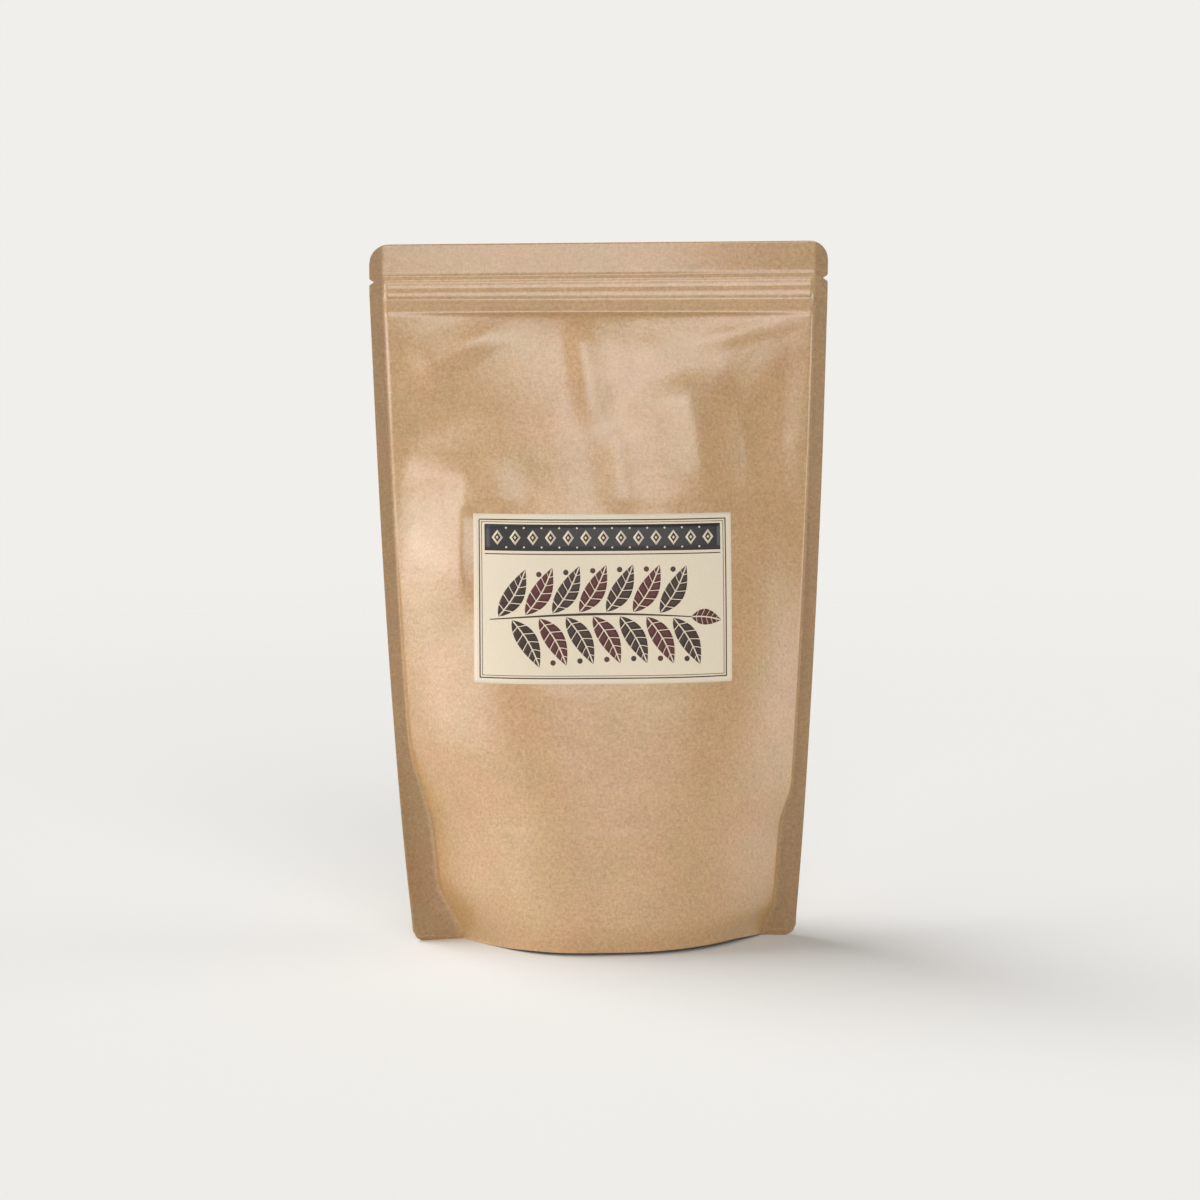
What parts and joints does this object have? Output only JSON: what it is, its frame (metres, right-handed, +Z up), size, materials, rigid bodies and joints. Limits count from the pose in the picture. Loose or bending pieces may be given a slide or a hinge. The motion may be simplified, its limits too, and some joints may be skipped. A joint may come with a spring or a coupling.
{
  "type": "filled kraft stand-up zip-top pouch",
  "caption": "Kraft laminate stand-up pouch with a gusseted foot, a press-to-close zipper under the top weld, a paper label and a fill of dried tonka beans.",
  "frame": {"origin": "on the ground, under the middle of the pouch's foot", "axes": "+Z up, the labelled front faces -Y, +X to the right when looking at the front"},
  "size_m": [0.19, 0.0796, 0.292],
  "materials": {
    "kraft": "kraft paper laminate with a soft satin sheen",
    "zipper": "translucent white polyethylene",
    "label": "matt cream label paper",
    "beans": "wrinkled dark brown seed coat"
  },
  "bodies": {
    "root": {"front_web": "kraft", "back_web": "kraft", "bottom_gusset": "kraft", "zipper_groove": "zipper", "zipper_rib": "zipper", "paper_label": "label", "bean_fill": "beans"}
  },
  "joints": []
}
